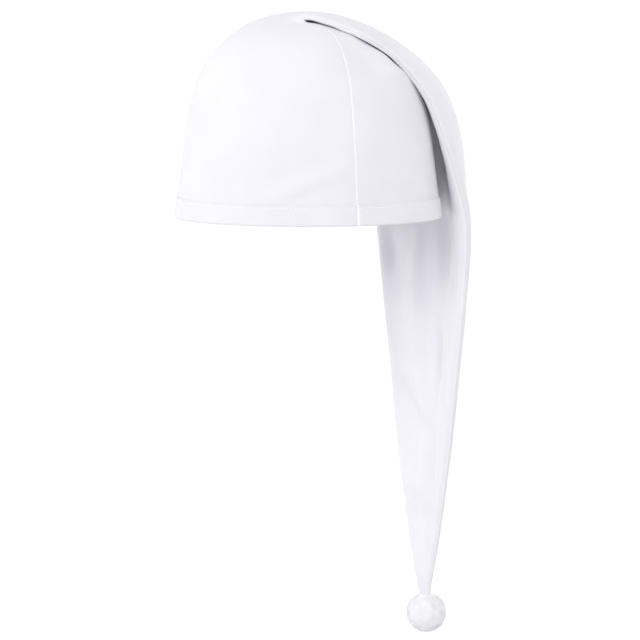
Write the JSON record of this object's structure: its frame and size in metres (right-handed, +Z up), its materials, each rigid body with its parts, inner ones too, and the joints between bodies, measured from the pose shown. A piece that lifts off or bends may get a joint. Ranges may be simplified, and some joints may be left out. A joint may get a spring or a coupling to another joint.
{
  "type": "nightcap",
  "caption": "White nightcap with a dome crown, a folded hem band, a long tail that folds over and hangs behind, and a soft pompom on its tip.",
  "frame": {"origin": "middle of the head opening, in the plane of the hem", "axes": "+Z up through the crown, -Y towards the wearer's face, +X towards the wearer's left"},
  "size_m": [0.1678, 0.2264, 0.4822],
  "materials": {
    "cloth_white": "matt, soft brushed cotton",
    "hem_white": "matt, soft brushed cotton, folded and stitched",
    "pompom_white": "matt, dense short yarn"
  },
  "bodies": {
    "root": {"front_panel": "cloth_white", "back_panel": "cloth_white", "hem_band": "hem_white", "pompom": "pompom_white"}
  },
  "joints": []
}
